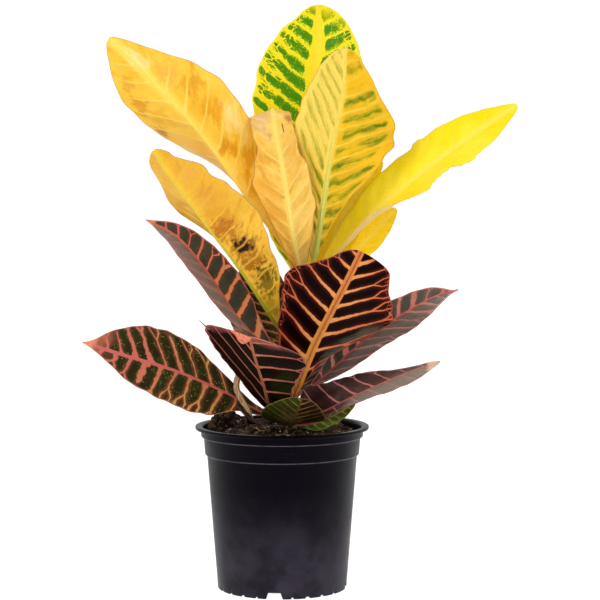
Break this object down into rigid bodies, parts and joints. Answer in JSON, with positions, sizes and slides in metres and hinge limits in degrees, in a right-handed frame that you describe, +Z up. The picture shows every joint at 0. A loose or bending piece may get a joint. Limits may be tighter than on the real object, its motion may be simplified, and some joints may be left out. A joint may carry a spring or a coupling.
{
  "type": "potted plant",
  "caption": "Potted croton with broad veined leaves, gold and green above, dark green and maroon below, in a black plastic nursery pot.",
  "frame": {"origin": "middle of the pot's underside, on the surface it stands on", "axes": "+Z up; -Y is the plant's front; +X is to the right seen from the front"},
  "size_m": [0.4095, 0.2608, 0.5558],
  "materials": {
    "pot_plastic": "moulded black polypropylene with a soft sheen",
    "soil": "moist dark potting mix with bark, fibre and pale perlite",
    "stem_bark": "grey-brown bark with leaf scars, green towards the tip",
    "leaf_gold": "waxy golden leaf with pale veins and brown flecks",
    "leaf_yellow": "glossy bright yellow leaf with green flecks",
    "leaf_green_gold": "glossy green leaf with broad yellow veins",
    "leaf_dark": "glossy dark green and maroon leaf with orange-red veins and a pink margin",
    "leaf_withered": "dry brown and straw-coloured leaf"
  },
  "bodies": {
    "root": {"pot": "pot_plastic", "soil": "soil", "stem": "stem_bark", "leaf_gold_left_high": "leaf_gold", "leaf_gold_left_low": "leaf_gold", "leaf_green_gold_top": "leaf_green_gold", "leaf_gold_centre": "leaf_green_gold", "leaf_pale_centre": "leaf_gold", "leaf_yellow_right": "leaf_yellow", "leaf_yellow_right_small": "leaf_yellow", "leaf_yellow_right_back": "leaf_yellow", "leaf_dark_left_high": "leaf_dark", "leaf_dark_left_back": "leaf_dark", "leaf_dark_left_low": "leaf_dark", "leaf_dark_front_left": "leaf_dark", "leaf_dark_front": "leaf_dark", "leaf_dark_right_high": "leaf_dark", "leaf_dark_right_low": "leaf_dark", "leaf_small_front": "leaf_dark", "leaf_small_right": "leaf_green_gold", "leaf_withered_rolled": "leaf_withered", "leaf_withered_flat": "leaf_withered", "leaf_back_gold": "leaf_green_gold", "leaf_back_gold_right": "leaf_green_gold", "leaf_back_dark_left": "leaf_dark", "leaf_back_dark": "leaf_dark", "leaf_back_dark_right": "leaf_dark"}
  },
  "joints": []
}
